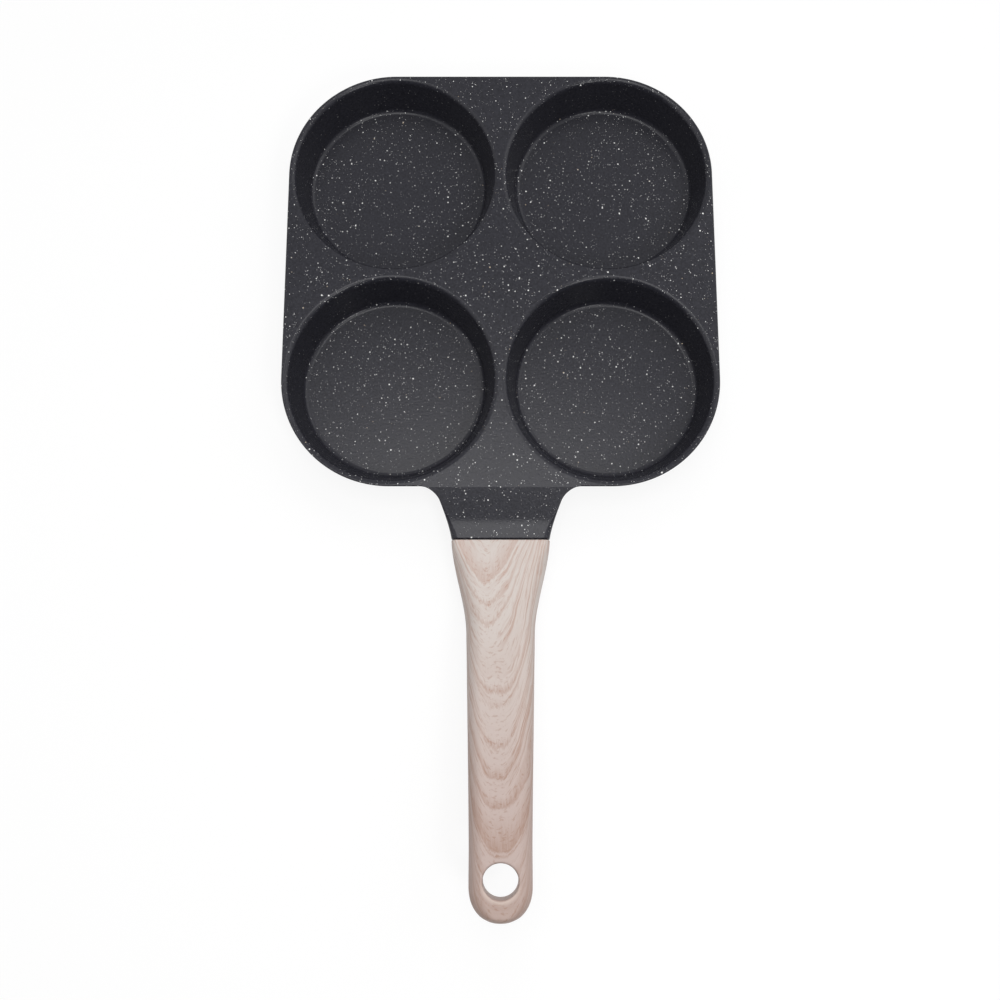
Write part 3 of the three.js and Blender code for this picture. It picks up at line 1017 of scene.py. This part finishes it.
@dataclass(frozen=True)
class PanCasting:
    """The cast body: deck, four cups, skirt, neck and tang, sizes in millimetres, angles in degrees."""

    joint: Joint = field(default_factory=Joint)
    cup_rim_radius: float = 46.1
    cup_floor_radius: float = 41.3
    cup_depth: float = 19.5
    cup_rim_round: float = 2.5
    cup_floor_round: float = 2.5
    cup_wall: float = 2.6
    cup_floor_thickness: float = 3.6
    cup_base_z: float = 0.3
    cup_base_bevel: float = 1.5
    cup_base_round: float = 0.8
    cup_root: float = 0.8  # of the deck's thickness, below the deck's top
    cup_web: float = 5.3
    rim_border: float = 2.65
    deck_thickness: float = 3.0
    deck_edge_round: float = 0.6
    skirt_wall: float = 2.2
    skirt_inset: float = 4.2
    skirt_foot: float = 3.2
    disc_recess_radius: float = 37.3
    disc_recess_top: float = 1.0
    neck_length: float = 22.5
    neck_root: float = 29.2
    neck_taper: float = 1.3
    neck_spread: float = 1.4
    neck_fillet: float = 6.3
    neck_lean: float = 14.0
    neck_root_depth: float = 6.0
    neck_drop: float = 3.8
    neck_lip: float = 0.4
    neck_slope: float = 15.6
    neck_bend: float = 20.0
    neck_edge_round: float = 0.7
    cup_steps: int = 144
    cup_round_steps: int = 10
    hole_steps: int = 48
    corner_steps: int = 40
    section_steps: int = 10
    neck_steps: int = 40
    edge_steps: int = 9
    crease: float = 12.0

    @property
    def floor_z(self) -> float:
        """Height of the cups' floors."""
        return self.cup_base_z + self.cup_floor_thickness

    @property
    def deck_z(self) -> float:
        """Height of the deck."""
        return self.floor_z + self.cup_depth

    @property
    def corner_radius(self) -> float:
        """Radius of the pan's corners, around the cups' axes."""
        return self.cup_rim_radius + self.rim_border

    @property
    def pitch(self) -> float:
        """Distance between two neighbouring cups."""
        return 2 * self.cup_rim_radius + self.cup_web

    @property
    def half(self) -> float:
        """Half the pan's width."""
        return self.pitch / 2 + self.corner_radius

    @property
    def joint_top_z(self) -> float:
        """Height of the neck's level end."""
        return self.deck_z - self.neck_drop

    @property
    def neck_end_y(self) -> float:
        """Where the neck ends."""
        return -self.half - self.neck_length

    @property
    def tang_z(self) -> float:
        """Height of the tang's middle."""
        return self.joint_top_z - self.joint.height / 2 + self.joint.tang_lift

    @property
    def screw_y(self) -> float:
        """Where the handle's screw stands."""
        return self.neck_end_y - self.joint.gap - self.joint.screw_from_joint

    def cup_places(self) -> dict[Side, Vector]:
        """Returns the four cups' axes."""
        return {side: Vector((*side.value, 0)) * (self.pitch / 2) for side in Side}

    def _outline(self, inset: float, z: float) -> Section:
        """Returns the pan's outline at a height, drawn in by an inset."""
        half, radius = self.half - inset, self.corner_radius - inset
        return Section(half, -half, half, radius, radius, Matrix.Translation((0, 0, z)))

    def _skirt_inset(self, z: float) -> float:
        """Returns how far the skirt leans in at a height."""
        return self.skirt_inset * (self.deck_z - z) / (self.deck_z - self.skirt_foot)

    def _block(self, bottom: float) -> Body:
        """Makes the pan's outer form, solid.

        Args:
            bottom: Height of its lower end.

        Returns:
            The form, up to the deck.
        """
        sections = [self._outline(self._skirt_inset(bottom), bottom)]
        lean = math.atan2(self.skirt_inset, self.deck_z - self.skirt_foot)
        for step in range(self.edge_steps + 1):
            angle = (QUARTER_TURN - lean) * step / self.edge_steps + lean
            inset = self.deck_edge_round * (1 - math.cos(angle))
            drop = self.deck_edge_round * (1 - math.sin(angle))
            sections.append(self._outline(inset, self.deck_z - drop))
        return Body().loft(sections, self.corner_steps)

    def _hollow(self) -> Body:
        """Makes the space inside the skirt.

        Returns:
            The space, up to the deck's underside.
        """
        heights = (-OVERSHOOT, self.deck_z - self.deck_thickness)
        sections = [self._outline(self._skirt_inset(z) + self.skirt_wall, z) for z in heights]
        return Body().loft(sections, self.corner_steps)

    def _cups_outside(self) -> Body:
        """Makes the four cups' outer forms, held inside the skirt.

        Returns:
            The forms, up into the deck.
        """
        slope = (self.cup_rim_radius - self.cup_floor_radius) / self.cup_depth
        wall = self.cup_wall * math.hypot(1, slope)
        top = self.deck_z - self.cup_root * self.deck_thickness

        def radius(z: float) -> float:
            """Returns the outer radius at a height."""
            return self.cup_floor_radius + wall + (z - self.floor_z) * slope

        bevel_top = self.cup_base_z + self.cup_base_bevel
        cups = Body().turn([
            Corner(0, self.cup_base_z),
            Corner(radius(bevel_top) - self.cup_base_bevel, self.cup_base_z, self.cup_base_round),
            Corner(radius(bevel_top), bevel_top, self.cup_base_round),
            Corner(radius(top), top),
            Corner(0, top),
        ], self.cup_steps)
        cups.repeated(self.cup_places().values())
        return joined("cups", cups, [(Join.KEEP, self._block(self.cup_base_z - OVERSHOOT))])

    def _cups_inside(self) -> Body:
        """Makes the four cups' hollows, with round rims and floor corners.

        Returns:
            The hollows, from the floors to above the deck.
        """
        lean = math.atan2(self.cup_depth, self.cup_rim_radius - self.cup_floor_radius)
        mouth = self.cup_rim_radius + self.cup_rim_round / math.tan((math.pi - lean) / 2)
        rim = self.deck_z + TOUCH
        return Body().turn([
            Corner(0, self.floor_z),
            Corner(self.cup_floor_radius, self.floor_z, self.cup_floor_round),
            Corner(self.cup_rim_radius, rim, self.cup_rim_round),
            Corner(mouth, rim),
            Corner(mouth, rim + OVERSHOOT),
            Corner(0, rim + OVERSHOOT),
        ], self.cup_steps, self.cup_round_steps).repeated(self.cup_places().values())

    def _neck_half_width(self, along: float) -> float:
        """Works out the neck's width, which is drawn in from a fillet at the skirt.

        Args:
            along: Distance from the deck's edge.

        Returns:
            Half the width.
        """
        if along < 0:
            return self.neck_root
        drawn_in = (1 - along / self.neck_length) ** self.neck_taper
        left = max(self.neck_fillet - along, 0.0)
        fillet = self.neck_fillet - math.sqrt(self.neck_fillet ** 2 - left ** 2)
        return mix(self.joint.half_width, self.neck_root, drawn_in) + fillet

    def _neck_top(self, along: float) -> float:
        """Works out the neck's height: a slope, an arc and a level end.

        Args:
            along: Distance from the deck's edge.

        Returns:
            The height of its top.
        """
        root_top = self.deck_z - TOUCH
        slope = (root_top - self.joint_top_z) / (self.neck_slope - self.neck_lip)
        from_level = self.neck_slope + self.neck_bend * math.tan(math.atan(slope) / 2) - along
        if from_level <= 0:
            return self.joint_top_z
        if from_level > self.neck_bend * math.sin(math.atan(slope)):
            return root_top - slope * max(along - self.neck_lip, 0.0)
        return self.joint_top_z + self.neck_bend - math.sqrt(self.neck_bend ** 2 - from_level ** 2)

    def _neck_section(self, along: float, inset: float) -> Section:
        """Draws the neck's section.

        Args:
            along: Distance from the deck's edge.
            inset: How far the section is drawn in.

        Returns:
            The section.
        """
        share = ease(along, self.neck_slope / 2, self.neck_length)
        top_round = mix(self.neck_edge_round, self.joint.top_round, share)
        bottom = self.joint_top_z - self.joint.height + inset
        rounds = (self.joint.corner_round - inset, top_round - inset)
        half_width = self._neck_half_width(along) - inset
        top = self._neck_top(along) - inset
        lean = math.radians(self.neck_lean) * (1 - ease(along, 0, self.neck_length))
        return upright_section(half_width, bottom, top, rounds, -self.half - along, lean)

    def _neck(self) -> Body:
        """Makes the neck.

        Returns:
            The neck, from inside the skirt to the joint.
        """
        end = self.neck_length - self.joint.edge_round
        shares = ((step / self.neck_steps) ** self.neck_spread for step in range(self.neck_steps + 1))
        stations = [-self.neck_root_depth, 0.0, *(mix(self.neck_lip, end, share) for share in shares)]
        sections = [self._neck_section(along, 0.0) for along in stations]
        for step in range(1, self.edge_steps + 1):
            angle = QUARTER_TURN * step / self.edge_steps
            inset = self.joint.edge_round * (1 - math.cos(angle))
            sections.append(self._neck_section(end + self.joint.edge_round * math.sin(angle), inset))
        return Body().loft(sections, self.section_steps)

    def tang(self, clearance: float, start_y: float) -> Body:
        """Makes the tang, or the room for it in the handle.

        Args:
            clearance: Room around it.
            start_y: Where it starts.

        Returns:
            The bar, up to its end.
        """
        half_width = self.joint.tang_width / 2 + clearance
        half_height = self.joint.tang_height / 2 + clearance
        rounds = (self.joint.tang_round + clearance,) * 2
        end_y = self.neck_end_y - self.joint.tang_length - clearance
        return Body().loft([
            upright_section(half_width, self.tang_z - half_height, self.tang_z + half_height, rounds, y)
            for y in (start_y, end_y)
        ], self.section_steps)

    def build(self, material: bpy.types.Material, offset: float) -> bpy.types.Object:
        """Builds and dresses the casting.

        Args:
            material: Its finish.
            offset: How far the pan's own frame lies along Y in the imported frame.

        Returns:
            The piece.
        """
        recess = Body().rod(self.disc_recess_radius, -OVERSHOOT, self.disc_recess_top, self.cup_steps)
        tapped = Body().rod(
            self.joint.screw_hole, self.tang_z - self.joint.height, self.deck_z, self.hole_steps,
        )
        body = joined("casting", self._block(self.skirt_foot), [
            (Join.CUT, self._hollow()),
            (Join.ADD, self._cups_outside()),
            (Join.ADD, self._neck()),
            (Join.ADD, self.tang(0.0, self.neck_end_y + self.neck_length / 2)),
            (Join.CUT, tapped.moved(Matrix.Translation((0, self.screw_y, 0)))),
            (Join.CUT, self._cups_inside()),
            (Join.CUT, recess.repeated(self.cup_places().values())),
        ])
        return finished(
            body, "coated_pan_casting", ["pan_casting"], material, offset, self.crease,
        )


@dataclass(frozen=True)
class BaseDiscs:
    """The perforated steel discs under the cups, sizes in millimetres."""

    casting: PanCasting
    radius: float = 37.0
    thickness: float = 1.0
    edge_round: float = 0.2
    hole_radius: float = 2.6
    hole_steps: int = 32
    edge_steps: int = 3
    rings: tuple[tuple[float, int], ...] = ((13.0, 6), (26.0, 12))

    def _holes(self) -> Body:
        """Makes the cutters for one disc's holes.

        Returns:
            The cutters, in rings about the disc's axis.
        """
        places = [
            Vector((radius * math.cos(turn), radius * math.sin(turn), 0))
            for radius, count in self.rings
            for turn in (FULL_TURN * step / count for step in range(count))
        ]
        hole = Body().rod(self.hole_radius, -OVERSHOOT, self.thickness + OVERSHOOT, self.hole_steps)
        return hole.repeated(places)

    def build(self, material: bpy.types.Material, offset: float) -> list[bpy.types.Object]:
        """Builds and dresses the four discs.

        Args:
            material: Their finish.
            offset: How far the pan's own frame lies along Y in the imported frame.

        Returns:
            The pieces.
        """
        pieces = []
        for side, place in self.casting.cup_places().items():
            plate = Body().turn([
                Corner(0, 0), Corner(self.radius, 0, self.edge_round),
                Corner(self.radius, self.thickness, self.edge_round), Corner(0, self.thickness),
            ], self.casting.cup_steps, self.edge_steps)
            body = joined("disc", plate, [(Join.CUT, self._holes())]).moved(Matrix.Translation(place))
            node = f"base_disc_{side.name.lower()}"
            pieces.append(finished(body, f"perforated_{node}", [node], material, offset))
        return pieces


@dataclass(frozen=True)
class Handle:
    """The moulded handle, with a tang socket and a hanging hole, sizes in millimetres, angles in degrees."""

    casting: PanCasting
    length: float = 154.4
    rise: float = 20.0
    flare_length: float = 40.0
    grip_front: float = 15.9
    grip_tail: float = 12.85
    taper_length: float = 126.0
    taper_power: float = 1.2
    grip_height: float = 18.0
    high_point: float = 75.0
    side_round: float = 8.2
    round_length: float = 16.0
    grip_round: float = 6.0
    tail_height: float = 14.0
    tail_round: float = 14.0
    tail_nose: float = 2.8
    tail_power: float = 2.2
    hole_radius: float = 7.2
    hole_half_length: float = 6.85
    hole_lip: float = 1.0
    hole_inset: float = 15.95
    full_round: float = 0.98  # of half a side that a corner may take up
    screw_web: float = 1.7
    counterbore_radius: float = 5.3
    steps: int = 90
    tail_steps: int = 30
    tail_tip_turn: float = 89.2
    section_steps: int = 14
    edge_steps: int = 5
    hole_steps: int = 96
    lip_steps: int = 8
    counterbore_steps: int = 64

    @property
    def front_y(self) -> float:
        """Where the handle starts."""
        return self.casting.neck_end_y - self.casting.joint.gap

    @property
    def front_z(self) -> float:
        """Height of the centre line at the joint."""
        return self.casting.joint_top_z - self.casting.joint.height / 2

    @property
    def tail_y(self) -> float:
        """Where the handle ends."""
        return self.front_y - self.length

    @property
    def counterbore_top(self) -> float:
        """Height of the face that the screw's washers press on."""
        joint = self.casting.joint
        return self.casting.tang_z - joint.tang_height / 2 - joint.tang_clearance - self.screw_web

    def _centre_z(self, along: float) -> float:
        """Returns the centre line's height at a distance from the joint."""
        return self.front_z + self.rise * ease(along, 0, self.length)

    def _tilt(self, along: float) -> float:
        """Returns the centre line's angle at a distance from the joint, from the slope of its easing."""
        share = along / self.length
        return math.atan(6 * self.rise * share * (1 - share) / self.length)

    def _tail_share(self, along: float, reach: float) -> float:
        """Returns how much of its size the round end has left: 1 before it, 0 at its tip."""
        into = min(max((along - self.length + reach) / reach, 0.0), 1.0)
        return (1 - into ** self.tail_power) ** (1 / self.tail_power)

    def _half_width(self, along: float) -> float:
        """Works out the handle's width: a flare, a taper and a round end.

        Args:
            along: Distance from the joint.

        Returns:
            Half the width.
        """
        taper = (1 - min(along / self.taper_length, 1.0)) ** self.taper_power
        grip = mix(self.grip_tail, self.grip_front, taper)
        flare = (self.casting.joint.half_width - self.grip_front) * (1 - ease(along, 0, self.flare_length))
        return (grip + flare) * self._tail_share(along, self.tail_round)

    def _half_height(self, along: float) -> float:
        """Works out the handle's height, which swells to the high point and shrinks to the tail.

        Args:
            along: Distance from the joint.

        Returns:
            Half the height.
        """
        swelling = mix(self.casting.joint.height, self.grip_height, ease(along, 0, self.high_point))
        shrunk = ease(along, self.high_point, self.length - self.tail_round)
        return mix(swelling, self.tail_height, shrunk) / 2 * self._tail_share(along, self.tail_nose)

    def _round(self, along: float, front: float) -> float:
        """Works out the radius of the section's corners.

        Args:
            along: Distance from the joint.
            front: The radius at the joint.

        Returns:
            The radius, which the section has room for.
        """
        flared = mix(front, self.side_round, ease(along, 0, self.round_length))
        wanted = mix(flared, self.grip_round, ease(along, self.round_length, self.high_point))
        room = self.full_round * min(self._half_width(along), self._half_height(along))
        return min(wanted, room)

    def _section(self, along: float, inset: float) -> Section:
        """Draws the section across the centre line.

        Args:
            along: Distance from the joint.
            inset: How far the section is drawn in.

        Returns:
            The section.
        """
        place = Matrix.Translation((0, self.front_y - along, self._centre_z(along)))
        place = place @ Matrix.Rotation(QUARTER_TURN - self._tilt(along), 4, "X")
        half_height = self._half_height(along) - inset
        joint = self.casting.joint
        fronts = (joint.corner_round, joint.top_round)
        bottom, top = (self._round(along, front) - inset for front in fronts)
        return Section(self._half_width(along) - inset, -half_height, half_height, bottom, top, place)

    def _grip(self) -> Body:
        """Makes the handle's outer form.

        Returns:
            The form, without its holes.
        """
        edge = self.casting.joint.edge_round
        sections = []
        for step in range(self.edge_steps):
            angle = QUARTER_TURN * step / self.edge_steps
            sections.append(self._section(edge * (1 - math.cos(angle)), edge * (1 - math.sin(angle))))
        round_start = self.length - self.tail_round
        for step in range(self.steps + 1):
            sections.append(self._section(mix(edge, round_start, step / self.steps), 0.0))
        for step in range(1, self.tail_steps + 1):
            turn = math.radians(self.tail_tip_turn * step / self.tail_steps)
            sections.append(self._section(round_start + self.tail_round * math.sin(turn), 0.0))
        return Body().loft(sections, self.section_steps)

    def _hanging_hole(self) -> Body:
        """Makes the cutter for the hanging hole, whose lips follow the handle's rounded faces.

        Returns:
            The cutter, in its place.
        """
        along = self.length - self.hole_inset
        half_height, corner = self._half_height(along), self._round(along, self.grip_round)
        flat = self._half_width(along) - corner
        mouth, top = self.hole_radius + self.hole_lip, half_height + OVERSHOOT
        hole = Body().turn([
            Corner(0, -top), Corner(mouth, -top), Corner(mouth, -half_height),
            Corner(self.hole_radius, -half_height, self.hole_lip),
            Corner(self.hole_radius, half_height, self.hole_lip),
            Corner(mouth, half_height), Corner(mouth, top), Corner(0, top),
        ], self.hole_steps, self.lip_steps)
        for vert in hole.mesh.verts:
            out = max(abs(vert.co.x) - flat, 0.0)
            drop = corner - math.sqrt(corner ** 2 - out ** 2)
            if vert.co.length_squared > self.hole_radius ** 2:
                vert.co.z -= math.copysign(drop, vert.co.z)
        place = Matrix.Translation((0, self.front_y - along, self._centre_z(along)))
        shorter = Matrix.Diagonal((1, self.hole_half_length / self.hole_radius, 1, 1))
        return hole.moved(place @ Matrix.Rotation(-self._tilt(along), 4, "X") @ shorter)

    def build(self, material: bpy.types.Material, offset: float) -> bpy.types.Object:
        """Builds and dresses the handle.

        Args:
            material: Its finish.
            offset: How far the pan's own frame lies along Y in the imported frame.

        Returns:
            The piece.
        """
        joint = self.casting.joint
        screw = Matrix.Translation((0, self.casting.screw_y, 0))
        bore = Body().rod(
            joint.screw_hole, self.counterbore_top - OVERSHOOT, self.casting.tang_z, self.casting.hole_steps,
        )
        counterbore = Body().rod(
            self.counterbore_radius, -OVERSHOOT, self.counterbore_top, self.counterbore_steps,
        )
        body = joined("handle", self._grip(), [
            (Join.CUT, self.casting.tang(joint.tang_clearance, self.front_y + OVERSHOOT)),
            (Join.CUT, self._hanging_hole()),
            (Join.CUT, bore.moved(screw)),
            (Join.CUT, counterbore.moved(screw)),
        ])
        return finished(body, "wood_grain_grip", ["handle"], material, offset)


@dataclass(frozen=True)
class HandleFastening:
    """The screw under the handle and its two washers, sizes in millimetres."""

    handle: Handle
    head_radius: float = 4.4
    head_height: float = 1.9
    head_crown: float = 0.9
    tip_set_back: float = 0.5
    slot_length: float = 4.6
    slot_width: float = 1.0
    slot_depth: float = 1.1
    flat_radius: float = 4.9
    flat_thickness: float = 0.8
    spring_radius: float = 4.4
    spring_thickness: float = 1.0
    spring_split: float = 0.9
    edge_round: float = 0.15
    edge_steps: int = 3
    steps: int = 72

    def _washer(self, radius: float, top: float, thickness: float, split: float) -> Body:
        """Makes a washer with soft edges.

        Args:
            radius: Its outer radius.
            top: Height of its upper face.
            thickness: Its thickness.
            split: Width of the gap in it, or 0 for a whole ring.

        Returns:
            The washer, about the Z axis.
        """
        hole = self.handle.casting.joint.screw_hole
        gap = split / radius
        bottom = top - thickness
        ring = Body().turn([
            Corner(hole, bottom, self.edge_round), Corner(radius, bottom, self.edge_round),
            Corner(radius, top, self.edge_round), Corner(hole, top, self.edge_round),
        ], self.steps, self.edge_steps, ring=True, angle=FULL_TURN - gap)
        return ring.moved(Matrix.Rotation(gap / 2, 4, "Z"))

    def _screw(self, head_top: float) -> Body:
        """Makes the screw, with a crowned head and a cross slot.

        Args:
            head_top: Height of the head's face that presses on the washer.

        Returns:
            The screw, about the Z axis.
        """
        casting = self.handle.casting
        bottom = head_top - self.head_height
        tip = casting.tang_z + casting.joint.tang_height / 2 - self.tip_set_back
        shank = casting.joint.screw_shank
        screw = Body().turn([
            Corner(0, bottom), Corner(self.head_radius, bottom, self.head_crown),
            Corner(self.head_radius, head_top, self.edge_round), Corner(shank, head_top),
            Corner(shank, tip - self.tip_set_back), Corner(shank - self.tip_set_back, tip), Corner(0, tip),
        ], self.steps)
        down = Matrix.Translation((0, 0, bottom))
        slots = [
            Body().slab(width, depth, 2 * self.slot_depth).moved(down)
            for width, depth in ((self.slot_length, self.slot_width), (self.slot_width, self.slot_length))
        ]
        return joined("screw", screw, [(Join.CUT, slot) for slot in slots])

    def build(self, material: bpy.types.Material, offset: float) -> list[bpy.types.Object]:
        """Builds and dresses the screw and its washers.

        Args:
            material: Their finish.
            offset: How far the pan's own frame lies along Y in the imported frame.

        Returns:
            The pieces.
        """
        flat_top = self.handle.counterbore_top
        spring_top = flat_top - self.flat_thickness
        head_top = spring_top - self.spring_thickness
        bodies = {
            "screw_flat_washer": self._washer(self.flat_radius, flat_top, self.flat_thickness, 0.0),
            "screw_spring_washer": self._washer(
                self.spring_radius, spring_top, self.spring_thickness, self.spring_split,
            ),
            "handle_screw": self._screw(head_top),
        }
        place = Matrix.Translation((0, self.handle.casting.screw_y, 0))
        return [
            finished(body.moved(place), f"plated_{node}", [node], material, offset)
            for node, body in bodies.items()
        ]


# Stage


@dataclass(frozen=True)
class SoftLight:
    """One square soft light that faces a point, sizes in metres."""

    name: str
    place: Place
    aim: Place
    size: float
    power: float
    mirrored: bool = True

    def build(self) -> None:
        """Hangs the light, out of the camera's sight."""
        data = bpy.data.lights.new(self.name, "AREA")
        data.shape, data.size, data.energy = "SQUARE", self.size, self.power
        lamp = bpy.data.objects.new(self.name, data)
        lamp.location = self.place
        facing = Vector(self.aim) - lamp.location
        lamp.rotation_euler = facing.to_track_quat("-Z", "Y").to_euler()
        lamp.visible_camera = False
        lamp.visible_glossy = self.mirrored
        bpy.context.scene.collection.objects.link(lamp)


@dataclass(frozen=True)
class Studio:
    """Camera, pale floor, dark card and soft lights, sizes in metres, angles in degrees."""

    camera_place: Place = (0.0, -0.0919, 0.5127)
    camera_lean: float = 11.43
    lens: float = 41.03
    sensor: float = 36.0
    near_clip: float = 0.01
    shift: tuple[float, float] = (-0.0006, -0.0497)
    floor_size: float = 12.0
    floor_colour: Colour = (0.75, 0.75, 0.75)
    floor_glow: float = 0.8
    glow_level: float = 1.08
    surround: float = 0.08
    card_size: float = 2.6
    card_place: Place = (0.0, -0.8, 0.0)
    card_colour: Colour = (0.02, 0.02, 0.02)
    card_roughness: float = 0.9
    lights: tuple[SoftLight, ...] = (
        SoftLight("soft_panel", (-0.03, 0.01, 0.80), (-0.03, 0.01, 0.0), 0.40, 2.2),
        SoftLight("front_light", (0.30, -0.45, 0.75), (0.0, 0.05, 0.0), 0.22, 2.0),
        SoftLight("back_light", (0.0, 1.5, 1.5), (0.0, 0.1, 0.0), 1.2, 10.2, False),
        SoftLight("right_fill", (0.85, 0.45, 0.85), (0.0, 0.0, 0.0), 1.0, 4.5),
        SoftLight("left_fill", (-0.85, 0.05, 0.85), (0.0, 0.0, 0.0), 1.0, 2.1),
    )

    def camera(self) -> None:
        """Sets the camera that looks down on the pan."""
        data = bpy.data.cameras.new("camera")
        data.lens, data.sensor_width = self.lens, self.sensor
        data.shift_x, data.shift_y = self.shift
        data.clip_start = self.near_clip
        camera = bpy.data.objects.new("camera", data)
        camera.location = self.camera_place
        camera.rotation_euler = (math.radians(self.camera_lean), 0, 0)
        bpy.context.scene.collection.objects.link(camera)
        bpy.context.scene.camera = camera

    @staticmethod
    def _seen(tree: bpy.types.NodeTree) -> Socket:
        """Tells the rays that the eye follows from those that only light things.

        Args:
            tree: Where the nodes go.

        Returns:
            1 where a ray comes from the camera or a mirror or clear surface, and 0 elsewhere.
        """
        path = tree.nodes.new("ShaderNodeLightPath").outputs
        total = path["Is Camera Ray"]
        for name in ("Is Glossy Ray", "Is Transmission Ray"):
            node = tree.nodes.new("ShaderNodeMath")
            node.operation = "MAXIMUM"
            tree.links.new(total, node.inputs[0])
            tree.links.new(path[name], node.inputs[1])
            total = node.outputs[0]
        return total

    def floor(self) -> None:
        """Lays the pale floor, which keeps the pan's shadow."""
        floor = Body().sheet(self.floor_size).as_object("floor")
        nodes = Nodes("floor_paper")
        nodes.tree.nodes.remove(nodes.surface)
        matt = nodes.add("ShaderNodeBsdfDiffuse", {"Color": (*self.floor_colour, 1)})
        glow = nodes.add("ShaderNodeEmission", {"Color": WHITE, "Strength": self.glow_level})
        share = nodes.calc("MULTIPLY", self._seen(nodes.tree), self.floor_glow)
        both = nodes.add("ShaderNodeMixShader", {0: share, 1: matt.outputs[0], 2: glow.outputs[0]})
        nodes.put(nodes.tree.nodes["Material Output"].inputs["Surface"], both.outputs[0])
        floor.data.materials.append(nodes.material)

    def card(self) -> None:
        """Stands a dark card on the camera's side, which only shiny surfaces show."""
        upright = Matrix.Translation(self.card_place) @ Matrix.Rotation(QUARTER_TURN, 4, "X")
        card = Body().sheet(self.card_size).moved(upright).as_object("dark_card")
        values = {"Base Color": (*self.card_colour, 1.0), "Roughness": self.card_roughness}
        card.data.materials.append(Nodes("card_felt").dressed(values))
        card.visible_camera = card.visible_diffuse = card.visible_shadow = False

    def world(self) -> None:
        """Sets the pale surround, which is white where it is seen."""
        world = bpy.data.worlds.new("surround")
        world.use_nodes = True
        tree = world.node_tree
        strength = tree.nodes.new("ShaderNodeMapRange")
        tree.links.new(self._seen(tree), strength.inputs["Value"])
        strength.inputs["To Min"].default_value = self.surround
        background = tree.nodes["Background"]
        background.inputs["Color"].default_value = WHITE
        tree.links.new(strength.outputs["Result"], background.inputs["Strength"])
        bpy.context.scene.world = world

    def build(self) -> None:
        """Sets up the colour view, the camera, the floor, the card, the surround and the lights."""
        bpy.context.scene.view_settings.view_transform = "Standard"
        self.camera()
        self.floor()
        self.card()
        self.world()
        for light in self.lights:
            light.build()


def main() -> None:
    """Builds the stage and every piece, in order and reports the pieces."""
    logging.basicConfig(level=logging.INFO, format="%(name)s: %(message)s")
    Studio().build()
    casting = PanCasting()
    handle = Handle(casting)
    offset = -(casting.half + handle.tail_y) / 2
    coating = SpeckledCoating().material()
    grain = WoodGrainPrint(
        handle.front_y + offset, handle.front_z, handle.rise, handle.length,
        handle.length - handle.hole_inset, handle.hole_half_length,
    ).material()
    pieces = [
        casting.build(coating, offset),
        *BaseDiscs(casting).build(BrushedSteel("brushed_base_steel").material(), offset),
        handle.build(grain, offset),
        *HandleFastening(handle).build(BrushedSteel("plated_fastener_steel").material(), offset),
    ]
    for piece in pieces:
        LOG.info("%s: %d faces", piece.name, len(piece.data.polygons))


if __name__ == "__main__":
    main()
